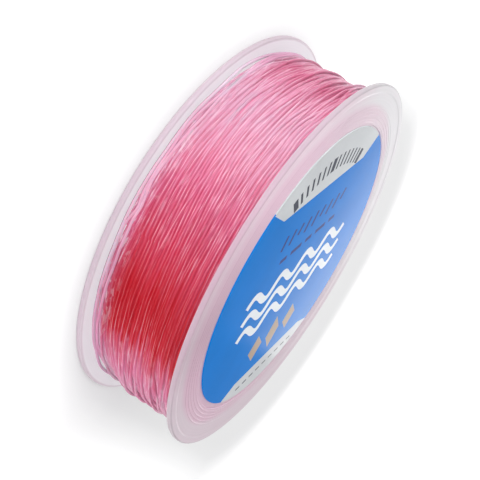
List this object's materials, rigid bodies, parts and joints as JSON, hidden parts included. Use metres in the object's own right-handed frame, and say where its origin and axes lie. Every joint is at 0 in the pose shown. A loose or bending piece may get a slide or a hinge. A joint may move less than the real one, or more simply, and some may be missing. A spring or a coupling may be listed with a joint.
{
  "type": "line spool",
  "caption": "Full line spool: two pressed-together frosted plastic halves, a round label over the spindle bore, and clear pink elastic line wound between the flanges.",
  "frame": {"origin": "on the spool axis, in the plane of the rear flange's outer face that the spool rests on", "axes": "+Z along the spool axis, from the plain rear flange up to the labelled front flange; +X is the right-hand side with the label seen from -Y"},
  "size_m": [0.07, 0.07, 0.0189],
  "materials": {
    "frosted_plastic": "frosted translucent moulded plastic, fine satin texture",
    "label_print": "printed self-adhesive paper with a satin laminate",
    "clear_pink_line": "clear tinted elastic line, glossy"
  },
  "bodies": {
    "root": {"rear_half": "frosted_plastic", "front_half": "frosted_plastic", "front_label": "label_print", "line_winding": "clear_pink_line", "line_start": "clear_pink_line", "line_tail": "clear_pink_line"}
  },
  "joints": []
}
